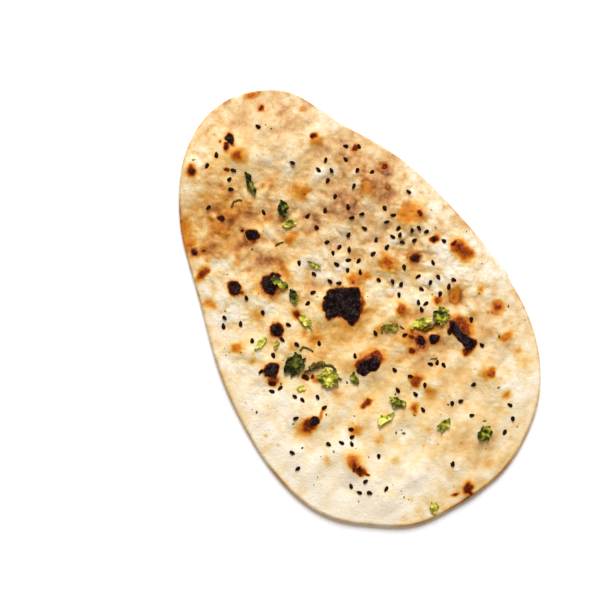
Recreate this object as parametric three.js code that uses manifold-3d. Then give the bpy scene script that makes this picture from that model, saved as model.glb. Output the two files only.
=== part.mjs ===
// A naan: a thin, hand-stretched, tear-shaped flatbread with charred blisters, strewn with
// black nigella seeds and chopped coriander. The bread is one solid that carries the seeds and
// the finest green bits. Each larger scrap of coriander is a thin leaf lying loose on the crust.
//
// Millimetres, +Z up. The origin is on the table, under the middle of the bread's box.
// +Y runs towards the narrow tip, +X across the bread, and the seeded crust faces up.

import * as THREE from 'three';
import { mergeVertices } from 'three/addons/utils/BufferGeometryUtils.js';
import Module from 'manifold-3d';

const wasm = await Module();
wasm.setup();

// Outline
const LENGTH = 240;
const WIDTH = 157.5;
const WIDEST_Y = -38;
const WAIST = { y: 55, span: 45, share: 0.075 };
const HEEL_CORNERS = { y: -105, span: 18, share: 0.05 };
const TIP_LEAN = { y: 82, span: 30, by: 3 };
// Where hands pushed or pulled the rim: place, reach along the rim, and move outwards
const RIM_PULLS = [
  { at: [32, 107], span: 13, by: 1.4 },
  { at: [43, 83], span: 16, by: -2.2 },
  { at: [64, 45], span: 26, by: 2.3 },
  { at: [79, -29], span: 3.5, by: 1.6 },
  { at: [70, -78], span: 26, by: 1.6 },
  { at: [28, -116], span: 18, by: 1 },
  { at: [-30, -117], span: 18, by: 2.8 },
  { at: [-69, -83], span: 24, by: 3.4 },
  { at: [-47, 88], span: 16, by: -1.2 },
];
const OUTLINE_SAMPLES = 720;
const CORE = new THREE.Vector2(0, -16);

// Thickness, and the hollow under the lifted folds
const THICKNESS = 4.8;
const RIM_THICKNESS = 3.2;
const RIM_TAPER = 0.22;
const RIM_ROUND = 2;
const RIM_LEANS = [50, 0, -50];
const SETTLE = 0.9;

// Broad folds that lift the bread off the table: [x, y, reach along, reach across, turn, rise]
const FOLDS = [
  [-12, 92, 46, 21, -8, 5.2],
  [40, 34, 24, 44, 8, 3.6],
  [-48, 53, 20, 5, -10, 1.5],
  [-76, 10, 12, 60, 0, 1.6],
  [46, -78, 30, 24, 30, 1.6],
  [-40, -98, 34, 16, -20, 1.1],
  [24, -112, 12, 3.5, 25, 1.4],
];

// Charred blisters: [x, y, reach along, reach across, turn, rise]
const BLISTERS = [
  [-3, -1, 12, 11, 40, 2.3],
  [-28, 27, 9, 7.5, -20, 1.8],
  [-46, 35, 6, 6, 0, 1.4],
  [-23, 54, 6, 5.5, 0, 1.3],
  [-8, -34, 10.5, 6, -8, 2],
  [-52, -12, 6.5, 6, 0, 1.6],
  [-38, 6, 4.5, 5.5, 0, 1.2],
  [21, -37, 8, 7, -30, 1.6],
  [43, -45, 6.5, 11.5, 8, 1.9],
  [-47, -44, 8, 5, 8, 1.5],
  [-39, -75, 5.5, 9.5, 8, 1.6],
  [64, -8, 6, 8.5, 12, 1.6],
  [53, 21, 9, 8, 0, 1.7],
  [39, 44, 6, 7.5, 0, 1.4],
  [9, 60, 7.5, 6.5, -10, 1.3],
  [-9, 92, 6.5, 6, 0, 1.3],
  [-9, 101, 5, 5.5, 0, 1],
  [-34, 98, 5, 5, 0, 1],
  [-33, 68, 6, 7, 0, 1.3],
  [28, 5, 5.5, 6, 0, 1.2],
  [29, 79, 6, 5, -15, 1.2],
  [22, -18, 5.5, 5, 0, 1.1],
  [10, -54, 5.5, 4.5, 0, 1.2],
  [44, -71, 5, 5, 0, 1.2],
  [-61, 8, 6, 5, 0, 1.1],
  [-56, 50, 6, 3.6, 20, 1.2],
  [4, -113, 6.5, 5, 15, 1.2],
];

// Soft pillows all over the crust, from crossing ripples
const RIPPLES = 7;
const RIPPLE_LENGTH = 50;
const RIPPLE_SHRINK = 0.8;
const RIPPLE_RISE = 1.9;
const GOLDEN_ANGLE = Math.PI * (3 - Math.sqrt(5));

// Mesh density: rings from the core outwards, each with six more points than the last
const CRUST_RINGS = 26;
const BASE_RINGS = 12;

// Nigella seeds, scattered in pinches: [x, y, reach along x, reach along y, seeds]
const SEED_LENGTH = 3.1;
const SEED_WIDTH = 1.9;
const SEED_HEIGHT = 1.5;
const SEED_TAPER = 0.3;
const SEED_STANDS = 0.25;
const SEED_GAP = 3.4;
const PINCHES = [
  [32, 34, 23, 30, 40],
  [42, -3, 20, 17, 17],
  [-2, 16, 16, 12, 9],
  [18, -46, 26, 24, 19],
  [-46, 8, 18, 20, 8],
  [-36, -20, 22, 14, 8],
  [-48, -52, 18, 16, 11],
  [-32, -84, 16, 8, 6],
  [-16, 84, 26, 20, 9],
  [8, -92, 34, 16, 5],
];
const PINCH_SPREAD = 1.25;
const SEED_RIM_SHARE = 0.94;
// Seeds keep this share of a blister's reach away from its middle
const SEED_OFF_BLISTER = 0.85;
const DRAW_START = 20731;
const DRAW_FACTOR = 16807;
const DRAW_MODULUS = 2 ** 31 - 1;

// Chopped coriander: [x, y, length, width, turn, lobes, curl]
const LEAF_THICKNESS = 0.45;
const LEAF_GAP = 0.45;
const LEAF_RINGS = 2;
const LOBE_DEPTH = 0.16;
const SEED_OFF_LEAF = 0.6;
const LEAVES = [
  [-11.5, 77, 14, 3.2, 80, 2, 0.5],
  [-3.5, 57, 8.5, 6, 60, 5, 0.7],
  [-5, 49, 7.5, 4.2, -15, 3, 0.5],
  [-24.5, 25.5, 10, 4, -65, 5, 0.6],
  [-22, 15.5, 8, 4.5, 75, 5, 0.6],
  [-4.5, 24, 8, 2.8, -60, 3, 0.5],
  [-49, 3.5, 8.5, 3.6, 8, 3, 0.5],
  [-23.5, 1.5, 9, 4, -70, 3, 0.5],
  [-39.5, -14.5, 12.5, 10.5, 25, 7, 0.9],
  [-34, -21.5, 9, 2.2, -8, 2, 0.4],
  [-28, -29.5, 12, 10, -55, 6, 1],
  [12.5, -23.5, 9.5, 4.4, -22, 4, 0.6],
  [26.5, -29.5, 12, 5, -8, 5, 0.8],
  [38, -31.5, 9.5, 8.4, 30, 7, 0.9],
  [-4.5, -58.5, 8.5, 6, -50, 4, 0.7],
  [-14.5, -62.5, 10.5, 4.6, 5, 4, 0.7],
  [10.5, -80.5, 9.5, 4.6, 18, 3, 0.6],
  [26, -95, 8.6, 7.6, 20, 7, 0.9],
];
// Bits under about 7 mm, sunk into the crust like the seeds: [x, y, length, width, turn]
const GREEN_BITS = [
  [-42, -1, 4.6, 3, 20],
  [-43.5, -27, 4.4, 2.8, -20],
  [-17, -36.5, 6.5, 4.4, 80],
  [-16, -114.5, 6.4, 4.6, 60],
];
const BIT_HEIGHT = 1.4;

// Colours as they look in the light of the room
const BREAD_COLOUR = 0xe9cda0;
const CORIANDER_COLOURS = [0x55752a, 0x9db04a];

const bell = (u) => Math.exp(-u * u);
const radians = THREE.MathUtils.degToRad;

// How far a point is from the middle of a bump, in reaches along and across it
function reachesAway([x, y, along, across, turn], px, py) {
  const cos = Math.cos(radians(turn));
  const sin = Math.sin(radians(turn));
  const u = ((px - x) * cos + (py - y) * sin) / along;
  const v = ((py - y) * cos - (px - x) * sin) / across;
  return Math.hypot(u, v);
}

// The bread's edge as a closed curve, counter-clockwise from the tip: half an egg there and half
// a rounder one at the heel
function rimCurve() {
  const points = [];
  for (let i = 0; i < OUTLINE_SAMPLES; i++) {
    const angle = (2 * Math.PI * i) / OUTLINE_SAMPLES;
    const reach = Math.cos(angle) > 0 ? LENGTH / 2 - WIDEST_Y : LENGTH / 2 + WIDEST_Y;
    const y = WIDEST_Y + reach * Math.cos(angle);
    const waist = 1 - WAIST.share * bell((y - WAIST.y) / WAIST.span);
    const corners = 1 + HEEL_CORNERS.share * bell((y - HEEL_CORNERS.y) / HEEL_CORNERS.span);
    const lean = TIP_LEAN.by * bell((y - TIP_LEAN.y) / TIP_LEAN.span);
    const across = (WIDTH / 2) * Math.sin(angle) * waist * corners;
    const point = new THREE.Vector2(-across - lean, y);
    for (const { at, span, by } of RIM_PULLS) {
      const pull = by * bell(point.distanceTo(new THREE.Vector2(...at)) / span);
      point.add(point.clone().sub(CORE).setLength(pull));
    }
    points.push(new THREE.Vector3(point.x, point.y, 0));
  }
  return new THREE.CatmullRomCurve3(centred(points), true);
}

// Moves and stretches the outline so that its box is LENGTH by WIDTH about the origin
function centred(points) {
  const box = new THREE.Box3().setFromPoints(points);
  const middle = box.getCenter(new THREE.Vector3());
  const size = box.getSize(new THREE.Vector3());
  const stretch = new THREE.Vector3(WIDTH / size.x, LENGTH / size.y, 1);
  return points.map((p) => p.sub(middle).multiply(stretch));
}

// Distance from the core to the rim, one entry for each half degree
function tabulateRim(curve) {
  const table = [];
  const spokes = curve.getSpacedPoints(OUTLINE_SAMPLES).slice(1).map((p) => {
    const fromCore = new THREE.Vector2(p.x, p.y).sub(CORE);
    return { angle: fromCore.angle(), reach: fromCore.length() };
  });
  spokes.sort((a, b) => a.angle - b.angle);
  for (let i = 0, next = 0; i < OUTLINE_SAMPLES; i++) {
    const angle = (2 * Math.PI * i) / OUTLINE_SAMPLES;
    while (next < spokes.length - 1 && spokes[next].angle < angle) next++;
    table.push(spokes[next].reach);
  }
  return table;
}

const rim = rimCurve();
const rimTable = tabulateRim(rim);

// 0 at the core, 1 at the rim
function rimShare(x, y) {
  const fromCore = new THREE.Vector2(x, y).sub(CORE);
  const place = (fromCore.angle() / (2 * Math.PI)) * rimTable.length;
  const low = Math.floor(place);
  const reach = THREE.MathUtils.lerp(
    rimTable[low % rimTable.length],
    rimTable[(low + 1) % rimTable.length],
    place - low,
  );
  return fromCore.length() / reach;
}

const sumOfBumps = (bumps, x, y) =>
  bumps.reduce((sum, bump) => sum + bump[5] * bell(reachesAway(bump, x, y)), 0);

function pillows(x, y) {
  let sum = 0;
  for (let i = 0; i < RIPPLES; i++) {
    const heading = i * GOLDEN_ANGLE;
    const along = x * Math.cos(heading) + y * Math.sin(heading);
    sum += Math.sin((2 * Math.PI * along) / (RIPPLE_LENGTH * RIPPLE_SHRINK ** i) + i);
  }
  return (RIPPLE_RISE * sum) / RIPPLES;
}

// Underside: flat on the table, except where a fold lifts it
const baseHeight = (x, y) => Math.max(0, sumOfBumps(FOLDS, x, y) - SETTLE);

// Crust: the folds, the thickness of the bread, and the relief that fades towards the rim
function crustHeight(x, y) {
  const inside = THREE.MathUtils.smoothstep(1 - rimShare(x, y), 0, RIM_TAPER);
  const thickness = THREE.MathUtils.lerp(RIM_THICKNESS, THICKNESS, inside);
  const relief = pillows(x, y) * inside + sumOfBumps(BLISTERS, x, y);
  return baseHeight(x, y) + thickness + relief;
}

// A ring of points round the core, as many as asked for, placed by a function of the rim point
const ring = (count, place) => rim.getSpacedPoints(count).slice(1).map(place);

// Triangles between two rings that may differ in their number of points
function stitch(inner, outer, triangles) {
  let i = 0;
  let j = 0;
  while (i < inner.length || j < outer.length) {
    const a = inner[i % inner.length];
    const b = outer[j % outer.length];
    if (i / inner.length < j / outer.length) {
      triangles.push(a, b, inner[++i % inner.length]);
    } else {
      triangles.push(a, b, outer[++j % outer.length]);
    }
  }
}

// A closed surface from rings: a first middle point, the rings in order, and a last middle point
function surfaceOfRings(first, rings, last) {
  const positions = [];
  const addPoint = (p) => positions.push(p.x, p.y, p.z) / 3 - 1;
  const indexed = [[first], ...rings, [last]].map((points) => points.map(addPoint));
  const triangles = [];
  for (let k = 1; k < indexed.length; k++) {
    if (indexed[k].length === 1) {
      const fan = indexed[k - 1];
      fan.forEach((a, i) => triangles.push(indexed[k][0], fan[(i + 1) % fan.length], a));
    } else if (indexed[k - 1].length === 1) {
      const fan = indexed[k];
      fan.forEach((a, i) => triangles.push(indexed[k - 1][0], a, fan[(i + 1) % fan.length]));
    } else {
      stitch(indexed[k - 1], indexed[k], triangles);
    }
  }
  const geometry = new THREE.BufferGeometry();
  geometry.setAttribute('position', new THREE.Float32BufferAttribute(positions, 3));
  geometry.setIndex(triangles);
  return geometry;
}

// Where a spoke reaches once it stops a distance short of the rim, and a share of the way there
function alongSpoke(rimPoint, share, short) {
  const spoke = new THREE.Vector2(rimPoint.x, rimPoint.y).sub(CORE);
  return spoke.setLength((spoke.length() - short) * share).add(CORE);
}

function breadGeometry() {
  const rimCount = 6 * CRUST_RINGS;
  const onCrust = (share) => (p) => {
    const { x, y } = alongSpoke(p, share, RIM_ROUND);
    return new THREE.Vector3(x, y, crustHeight(x, y));
  };
  const onBase = (share) => (p) => {
    const { x, y } = alongSpoke(p, share, RIM_ROUND);
    return new THREE.Vector3(x, y, baseHeight(x, y));
  };
  // The rounded rim, by its lean in degrees: 90 is the crust, 0 looks outwards, -90 the underside
  const onRim = (lean) => (p) => {
    const round = radians(lean);
    const { x, y } = alongSpoke(p, 1, RIM_ROUND * (1 - Math.cos(round)));
    const inner = alongSpoke(p, 1, RIM_ROUND);
    const top = crustHeight(inner.x, inner.y);
    const base = baseHeight(inner.x, inner.y);
    return new THREE.Vector3(x, y, (top + base) / 2 + ((top - base) / 2) * Math.sin(round));
  };
  const middle = (height) => new THREE.Vector3(CORE.x, CORE.y, height(CORE.x, CORE.y));
  const crust = [];
  for (let k = 1; k <= CRUST_RINGS; k++) crust.push(ring(6 * k, onCrust(k / CRUST_RINGS)));
  const base = [];
  for (let k = BASE_RINGS; k >= 1; k--) {
    base.push(ring(6 * k, onBase(k / BASE_RINGS)));
  }
  const edge = RIM_LEANS.map((lean) => ring(rimCount, onRim(lean)));
  return surfaceOfRings(middle(crustHeight), [...crust, ...edge, ...base], middle(baseHeight));
}

// The same draws on every run, each worked out from the last
let drawn = DRAW_START;
function draw() {
  drawn = (drawn * DRAW_FACTOR) % DRAW_MODULUS;
  return drawn / DRAW_MODULUS;
}

// Keeps a seed off the charred blisters, which stay bare
const onBlister = (x, y) =>
  BLISTERS.some((blister) => reachesAway(blister, x, y) < SEED_OFF_BLISTER);

// Keeps a seed off the loose leaves, which lie on the bare crust
const underLeaf = (x, y) =>
  LEAVES.some(([lx, ly, length, width, turn]) => {
    const clear = SEED_LENGTH / 2 + SEED_OFF_LEAF;
    return reachesAway([lx, ly, length / 2 + clear, width / 2 + clear, turn], x, y) < 1;
  });

// Scatters each pinch of seeds evenly about its middle, each seed clear of the others
function scatterSeeds() {
  const seeds = [];
  for (const [x, y, alongX, alongY, count] of PINCHES) {
    for (let placed = 0; placed < count; ) {
      const angle = 2 * Math.PI * draw();
      const reach = PINCH_SPREAD * Math.sqrt(draw());
      const sx = x + alongX * reach * Math.cos(angle);
      const sy = y + alongY * reach * Math.sin(angle);
      const turn = Math.PI * draw();
      const crowded = seeds.some((s) => Math.hypot(s.x - sx, s.y - sy) < SEED_GAP);
      const taken = crowded || onBlister(sx, sy) || underLeaf(sx, sy);
      if (taken || rimShare(sx, sy) > SEED_RIM_SHARE) continue;
      seeds.push({ x: sx, y: sy, turn });
      placed++;
    }
  }
  return seeds;
}

// A small egg along X, narrower at one end
function seedGeometry(length, width, height) {
  const geometry = new THREE.SphereGeometry(1, 5, 3).rotateZ(Math.PI / 2);
  const position = geometry.getAttribute('position');
  for (let i = 0; i < position.count; i++) {
    const narrow = 1 - SEED_TAPER * position.getX(i);
    position.setY(i, position.getY(i) * narrow);
    position.setZ(i, position.getZ(i) * narrow);
  }
  return geometry.scale(length / 2, width / 2, height / 2);
}

// Merged, so that neighbouring triangles share their corners
function toSolid(geometry) {
  const bare = new THREE.BufferGeometry();
  bare.setAttribute('position', geometry.getAttribute('position').clone());
  bare.setIndex(geometry.index);
  const merged = mergeVertices(bare, 1e-4);
  return new wasm.Manifold(
    new wasm.Mesh({
      numProp: 3,
      vertProperties: new Float32Array(merged.getAttribute('position').array),
      triVerts: new Uint32Array(merged.index.array),
    }),
  );
}

function toGeometry(solid) {
  const { numProp, numVert, vertProperties, triVerts } = solid.getMesh();
  const positions = new Float32Array(numVert * 3);
  for (let i = 0; i < numVert; i++) {
    positions.set(vertProperties.subarray(i * numProp, i * numProp + 3), i * 3);
  }
  const geometry = new THREE.BufferGeometry();
  geometry.setAttribute('position', new THREE.BufferAttribute(positions, 3));
  geometry.setIndex(new THREE.BufferAttribute(triVerts, 1));
  return geometry;
}

// The bread with its seeds and green bits fused on, each a little sunk into the crust
function seededBread() {
  const seeds = scatterSeeds().map(({ x, y, turn }) =>
    seedGeometry(SEED_LENGTH, SEED_WIDTH, SEED_HEIGHT)
      .rotateZ(turn)
      .translate(x, y, crustHeight(x, y) + SEED_STANDS),
  );
  const bits = GREEN_BITS.map(([x, y, length, width, turn]) =>
    seedGeometry(length, width, BIT_HEIGHT)
      .rotateZ(radians(turn))
      .translate(x, y, crustHeight(x, y) + SEED_STANDS / 2),
  );
  return [...seeds, ...bits]
    .map(toSolid)
    .reduce((bread, topping) => bread.add(topping), toSolid(breadGeometry()));
}

// A thin leaf scrap that follows the crust under it and curls, with both faces split alike
function leafGeometry([x, y, length, width, turn, lobes, curl]) {
  const place = (share, angle, side) => {
    const lobed = share * (1 - LOBE_DEPTH * share * (1 + Math.cos(lobes * angle)));
    const along = (length / 2) * lobed * Math.cos(angle);
    const across = (width / 2) * lobed * Math.sin(angle);
    const px = x + along * Math.cos(radians(turn)) - across * Math.sin(radians(turn));
    const py = y + along * Math.sin(radians(turn)) + across * Math.cos(radians(turn));
    const wave = curl * share * (1 + Math.sin((lobes - 1) * angle));
    const lift = LEAF_GAP + LEAF_THICKNESS / 2 + wave;
    return new THREE.Vector3(px, py, crustHeight(px, py) + lift + (side * LEAF_THICKNESS) / 2);
  };
  const leafRing = (k, side) =>
    Array.from({ length: 6 * k }, (_, i) =>
      place(k / LEAF_RINGS, (Math.PI * i) / (3 * k), side),
    );
  const faces = Array.from({ length: LEAF_RINGS }, (_, k) => k + 1);
  const upper = faces.map((k) => leafRing(k, 1));
  const lower = faces.map((k) => leafRing(k, -1)).reverse();
  return surfaceOfRings(place(0, 0, 1), [...upper, ...lower], place(0, 0, -1));
}

function named(name, geometry, colour, roughness) {
  const material = new THREE.MeshStandardMaterial({ color: colour, roughness, metalness: 0 });
  const mesh = new THREE.Mesh(geometry, material);
  mesh.name = name;
  return mesh;
}

const naan = new THREE.Group();
naan.name = 'naan';
naan.add(named('bread', toGeometry(seededBread()), BREAD_COLOUR, 0.75));

const coriander = new THREE.Group();
LEAVES.forEach((leaf, i) => {
  const name = `coriander_${String(i + 1).padStart(2, '0')}`;
  const colour = CORIANDER_COLOURS[leaf[5] > 4 ? 0 : 1];
  coriander.add(named(name, leafGeometry(leaf), colour, 0.55));
});
naan.add(coriander);

export default naan;
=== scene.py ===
from functools import lru_cache
from math import cos, hypot, pi, radians, sin, sqrt

import bpy
import numpy as np
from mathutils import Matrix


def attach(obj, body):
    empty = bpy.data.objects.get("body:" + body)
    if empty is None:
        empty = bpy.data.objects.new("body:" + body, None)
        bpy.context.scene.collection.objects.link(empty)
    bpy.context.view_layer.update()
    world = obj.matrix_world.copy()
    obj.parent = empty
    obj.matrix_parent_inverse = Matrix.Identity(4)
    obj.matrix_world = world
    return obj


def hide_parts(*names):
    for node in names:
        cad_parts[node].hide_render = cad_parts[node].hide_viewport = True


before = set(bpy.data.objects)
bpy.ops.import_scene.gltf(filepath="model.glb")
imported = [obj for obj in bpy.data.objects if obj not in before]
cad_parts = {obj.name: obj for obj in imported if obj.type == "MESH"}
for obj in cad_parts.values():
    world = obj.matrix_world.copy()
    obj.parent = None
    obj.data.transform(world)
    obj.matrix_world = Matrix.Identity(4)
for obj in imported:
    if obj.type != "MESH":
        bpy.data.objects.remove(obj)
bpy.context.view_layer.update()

# Sizes and places are in millimetres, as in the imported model, and become metres in build_mesh
MM = 0.001

# Outline of the bread
LENGTH = 240
WIDTH = 157.5
WIDEST_Y = -38
WAIST = {"y": 55, "span": 45, "share": 0.075}
HEEL_CORNERS = {"y": -105, "span": 18, "share": 0.05}
TIP_LEAN = {"y": 82, "span": 30, "by": 3}
# Where hands pushed or pulled the rim: place, reach along the rim, and move outwards
RIM_PULLS = [
    ((32, 107), 13, 1.4), ((43, 83), 16, -2.2), ((64, 45), 26, 2.3), ((79, -29), 3.5, 1.6),
    ((70, -78), 26, 1.6), ((28, -116), 18, 1), ((-30, -117), 18, 2.8), ((-69, -83), 24, 3.4),
    ((-47, 88), 16, -1.2),
]
OUTLINE_SAMPLES = 720
NOISE_SIDE = 512
CORE = np.array([0.0, -16.0])

# Thickness, and the hollow under the lifted folds
THICKNESS = 4.8
RIM_THICKNESS = 3.2
RIM_TAPER = 0.22
RIM_ROUND = 2
RIM_LEANS = (75, 60, 45, 30, 15, 0, -20, -40, -65)
SETTLE = 0.9

# A bump is (x, y, reach along, reach across, turn, how much). Broad folds, by their rise:
FOLDS = [
    (-12, 92, 46, 21, -8, 5.2), (40, 34, 24, 44, 8, 3.6), (-48, 53, 20, 5, -10, 1.5),
    (-76, 10, 12, 60, 0, 1.6), (46, -78, 30, 24, 30, 1.6), (-40, -98, 34, 16, -20, 1.1),
    (24, -112, 12, 3.5, 25, 1.4),
]

# Charred blisters, by their rise
BLISTERS = [
    (-3, -1, 12, 11, 40, 2.3), (-28, 27, 9, 7.5, -20, 1.8), (-46, 35, 6, 6, 0, 1.4),
    (-23, 54, 6, 5.5, 0, 1.3), (-8, -34, 10.5, 6, -8, 2), (-52, -12, 6.5, 6, 0, 1.6),
    (-38, 6, 4.5, 5.5, 0, 1.2), (21, -37, 8, 7, -30, 1.6), (43, -45, 6.5, 11.5, 8, 1.9),
    (-47, -44, 8, 5, 8, 1.5), (-39, -75, 5.5, 9.5, 8, 1.6), (64, -8, 6, 8.5, 12, 1.6),
    (53, 21, 9, 8, 0, 1.7), (39, 44, 6, 7.5, 0, 1.4), (9, 60, 7.5, 6.5, -10, 1.3),
    (-9, 92, 6.5, 6, 0, 1.3), (-9, 101, 5, 5.5, 0, 1), (-34, 98, 5, 5, 0, 1),
    (-33, 68, 6, 7, 0, 1.3), (28, 5, 5.5, 6, 0, 1.2), (29, 79, 6, 5, -15, 1.2),
    (22, -18, 5.5, 5, 0, 1.1), (10, -54, 5.5, 4.5, 0, 1.2), (44, -71, 5, 5, 0, 1.2),
    (-61, 8, 6, 5, 0, 1.1), (-56, 50, 6, 3.6, 20, 1.2), (4, -113, 6.5, 5, 15, 1.2),
]

# Soft pillows all over the crust, from crossing ripples
RIPPLES = 7
RIPPLE_LENGTH = 50
RIPPLE_SHRINK = 0.8
RIPPLE_RISE = 1.9
GOLDEN_ANGLE = pi * (3 - sqrt(5))

# Fine relief that the solids leave out: width and rise of the lumps in each layer
FINE_RELIEF = [(9, 0.42), (5, 0.36), (2.5, 0.2)]
LUMP_STEEPNESS = 2.4
# How wide and soft the creases between the lumps are
CREASE_SOFTNESS = 0.1
# What the lumps' height averages, so that they leave the bread as thick as it was
LUMP_MEAN = 0.95
# The crust is lumpiest at the upper right, smooth at the lower left and taut on its tallest blister
LUMPY_HEADING = 60
LUMPY_FROM = -75
LUMPY_TO = 35
LUMPY_LEAST = 0.3
LUMPY_PLACES = [(32, 36, 30, 30, 0, 0.2), (-9, 94, 10, 10, 0, -1)]
# Cracked char: rise and width of its flakes, and the heat from which it cracks
CHAR_CRACKLE = 0.35
CRACKLE_WIDTH = 1.5
CRACKLE_FROM = 0.75
# Share of the fine relief that is left at the rim
RIM_RELIEF = 0.35
CRUST_RINGS = 160
BASE_RINGS = 40

# Nigella seeds
SEED_LENGTH = 3.1
SEED_WIDTH = 1.9
SEED_HEIGHT = 1.5
# Height of a seed's middle over the crust
SEED_STANDS = 0.25
SEED_TAPER = 0.3
SEED_RIDGES = 0.08
SEED_GAP = 3.4
# Pinches of seeds: (x, y, reach along x, reach along y, seeds)
PINCHES = [
    (32, 34, 23, 30, 40), (42, -3, 20, 17, 17), (-2, 16, 16, 12, 9), (18, -46, 26, 24, 19),
    (-46, 8, 18, 20, 8), (-36, -20, 22, 14, 8), (-48, -52, 18, 16, 11), (-32, -84, 16, 8, 6),
    (-16, 84, 26, 20, 9), (8, -92, 34, 16, 5),
]
PINCH_SPREAD = 1.25
SEED_RIM_SHARE = 0.94
# Seeds keep this share of a blister's reach away from its middle
SEED_OFF_BLISTER = 0.85
DRAW_START = 20731
DRAW_FACTOR = 16807
DRAW_MODULUS = 2**31 - 1

LEAF_THICKNESS = 0.45
LEAF_GAP = 0.45
LOBE_DEPTH = 0.2
# Crumpling of a leaf: how wide its folds are, and how far they push it sideways
CRUMPLE_WIDTH = 1.9
CRUMPLE_SHIFT = 0.8
# Painted light on the leaves: how much paler the crests of the folds are painted, and how much
# darker the hollows, as painted shade
LEAF_PAINTED_FOLD_LIGHT = 0.38
SEED_OFF_LEAF = 0.6
LEAF_STEPS = 14
# Chopped coriander: (x, y, length, width, turn, lobes, curl, paleness, wilt). A paleness of 0 is
# dark green and 1 is yellow; a wilt of 1 is brown.
LEAVES = [
    (-11.5, 77, 14, 3.2, 80, 2, 0.5, 0.25, 0),
    (-3.5, 57, 8.5, 6, 60, 5, 0.7, 0.15, 0),
    (-5, 49, 7.5, 4.2, -15, 3, 0.5, 0.7, 0.2),
    (-24.5, 25.5, 10, 4, -65, 5, 0.6, 0.45, 0),
    (-22, 15.5, 8, 4.5, 75, 5, 0.6, 0.3, 0),
    (-4.5, 24, 8, 2.8, -60, 3, 0.5, 0.55, 0),
    (-49, 3.5, 8.5, 3.6, 8, 3, 0.5, 0.85, 0),
    (-23.5, 1.5, 9, 4, -70, 3, 0.5, 0.75, 0.2),
    (-39.5, -14.5, 12.5, 10.5, 25, 7, 0.9, 0.15, 0),
    (-34, -21.5, 9, 2.2, -8, 2, 0.4, 0.2, 0.8),
    (-28, -29.5, 12, 10, -55, 6, 1, 0.6, 0),
    (12.5, -23.5, 9.5, 4.4, -22, 4, 0.6, 0.4, 0.3),
    (26.5, -29.5, 12, 5, -8, 5, 0.8, 0.65, 0),
    (38, -31.5, 9.5, 8.4, 30, 7, 0.9, 0.35, 0),
    (-4.5, -58.5, 8.5, 6, -50, 4, 0.7, 0.55, 0),
    (-14.5, -62.5, 10.5, 4.6, 5, 4, 0.7, 0.85, 0),
    (10.5, -80.5, 9.5, 4.6, 18, 3, 0.6, 0.65, 0.3),
    (26, -95, 8.6, 7.6, 20, 7, 0.9, 0.4, 0),
]
# The same for the bits under about 7 mm
GREEN_BITS = [
    (-42, -1, 4.6, 3, 20, 4, 0.5, 0.5, 0),
    (-43.5, -27, 4.4, 2.8, -20, 4, 0.5, 0.8, 0),
    (-17, -36.5, 6.5, 4.4, 80, 4, 0.5, 0.4, 0),
    (-16, -114.5, 6.4, 4.6, 60, 4, 0.5, 0.8, 0),
]
# Wilted stems: how much their girth varies, and their height as a share of their width
STEM_FRILL = 0.6
STEM_FLATNESS = 0.6
STEM_STEP = 0.3
STEM_SIDES = 10
FRILL_WIDTH = 0.9
# Stems and threads of leaf: radius, and points along them
STEMS = [
    (1.5, [(-34.4, -20.6), (-31.5, -20), (-28.8, -20.8), (-26.4, -22.8)]),
    (0.6, [(-27, -22.4), (-23.4, -25.2), (-23.2, -28.4), (-24.4, -31.9), (-22.6, -33.6)]),
    (0.5, [(-33.8, -10), (-31.5, -9), (-29.2, -11.2), (-27.9, -14)]),
    (0.45, [(-26, 71), (-23.5, 73.2), (-20.5, 72.5), (-19.3, 71.3)]),
    (0.45, [(16.7, -25.3), (17.5, -26.6), (17.8, -28.2)]),
    (0.35, [(21.5, -48), (23.2, -49), (25, -49.6)]),
    (0.5, [(-12, 42), (-14.5, 43), (-17, 42.6)]),
    (0.7, [(26, -33.6), (29.5, -34.2), (33, -34), (36, -35.4)]),
]
# Tiny flecks of herb and crumbs of char, from the shortest to the longest
HERB_FLECKS = {"count": 60, "seed": 23, "lengths": (0.8, 2.2)}
CHAR_CRUMBS = {"count": 45, "seed": 24, "lengths": (0.5, 1.1)}
FLECK_WIDTH = 0.6
FLECK_HEIGHT = 0.35
FLECKS_OFF_HEAT = 0.3
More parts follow.
